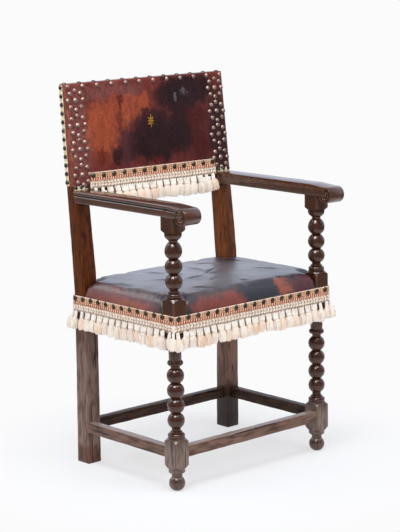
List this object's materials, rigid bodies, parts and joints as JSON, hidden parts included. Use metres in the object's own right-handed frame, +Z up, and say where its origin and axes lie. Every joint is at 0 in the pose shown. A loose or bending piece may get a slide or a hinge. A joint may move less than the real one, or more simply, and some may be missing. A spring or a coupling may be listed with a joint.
{
  "type": "armchair",
  "caption": "Open armchair with bobbin-turned front legs, scrolled arms, a raked back and a stuffed seat in nailed leather, trimmed with tasselled fringe.",
  "frame": {"origin": "floor point under the middle of the chair's box", "axes": "+Z up; the chair faces -Y; +X is towards the chair's own left arm"},
  "size_m": [0.5502, 0.4754, 0.9735],
  "materials": {
    "walnut": "dark waxed walnut",
    "peg_oak": "dark oak pegs",
    "red_leather": "worn red-brown hide",
    "dark_leather": "blackened polished hide",
    "linen": "coarse linen and webbing",
    "horsehair": "curled hair stuffing",
    "cream_wool": "cream fringe and gimp"
  },
  "bodies": {
    "root": {"arm_left": "walnut", "arm_right": "walnut", "back_edge_gimp_left": "cream_wool", "back_edge_gimp_right": "cream_wool", "back_fringe": "cream_wool", "back_leather": "red_leather", "back_lining": "linen", "back_rail_bottom": "walnut", "back_rail_top": "walnut", "back_stuffing": "horsehair", "front_leg_left": "walnut", "front_leg_right": "walnut", "peg_arm_left_front": "peg_oak", "peg_arm_left_rear": "peg_oak", "peg_arm_right_front": "peg_oak", "peg_arm_right_rear": "peg_oak", "peg_back_rail_bottom_rear_post_left": "peg_oak", "peg_back_rail_bottom_rear_post_right": "peg_oak", "peg_back_rail_top_rear_post_left": "peg_oak", "peg_back_rail_top_rear_post_right": "peg_oak", "peg_seat_rail_front_front_leg_left": "peg_oak", "peg_seat_rail_front_front_leg_right": "peg_oak", "peg_seat_rail_left_front_leg_left": "peg_oak", "peg_seat_rail_left_rear_post_left": "peg_oak", "peg_seat_rail_rear_rear_post_left": "peg_oak", "peg_seat_rail_rear_rear_post_right": "peg_oak", "peg_seat_rail_right_front_leg_right": "peg_oak", "peg_seat_rail_right_rear_post_right": "peg_oak", "peg_stretcher_front_front_leg_left": "peg_oak", "peg_stretcher_front_front_leg_right": "peg_oak", "peg_stretcher_left_front_leg_left": "peg_oak", "peg_stretcher_left_rear_post_left": "peg_oak", "peg_stretcher_rear_rear_post_left": "peg_oak", "peg_stretcher_rear_rear_post_right": "peg_oak", "peg_stretcher_right_front_leg_right": "peg_oak", "peg_stretcher_right_rear_post_right": "peg_oak", "post_gimp_left": "cream_wool", "post_gimp_right": "cream_wool", "rear_post_left": "walnut", "rear_post_right": "walnut", "seat_fringe_front": "cream_wool", "seat_fringe_left": "cream_wool", "seat_fringe_rear": "cream_wool", "seat_fringe_right": "cream_wool", "seat_leather": "dark_leather", "seat_rail_front": "walnut", "seat_rail_left": "walnut", "seat_rail_rear": "walnut", "seat_rail_right": "walnut", "seat_sacking": "linen", "seat_stuffing": "horsehair", "stretcher_front": "walnut", "stretcher_left": "walnut", "stretcher_rear": "walnut", "stretcher_right": "walnut", "webbing_across_1": "linen", "webbing_across_2": "linen", "webbing_along_1": "linen", "webbing_along_2": "linen", "webbing_along_3": "linen"}
  },
  "joints": []
}
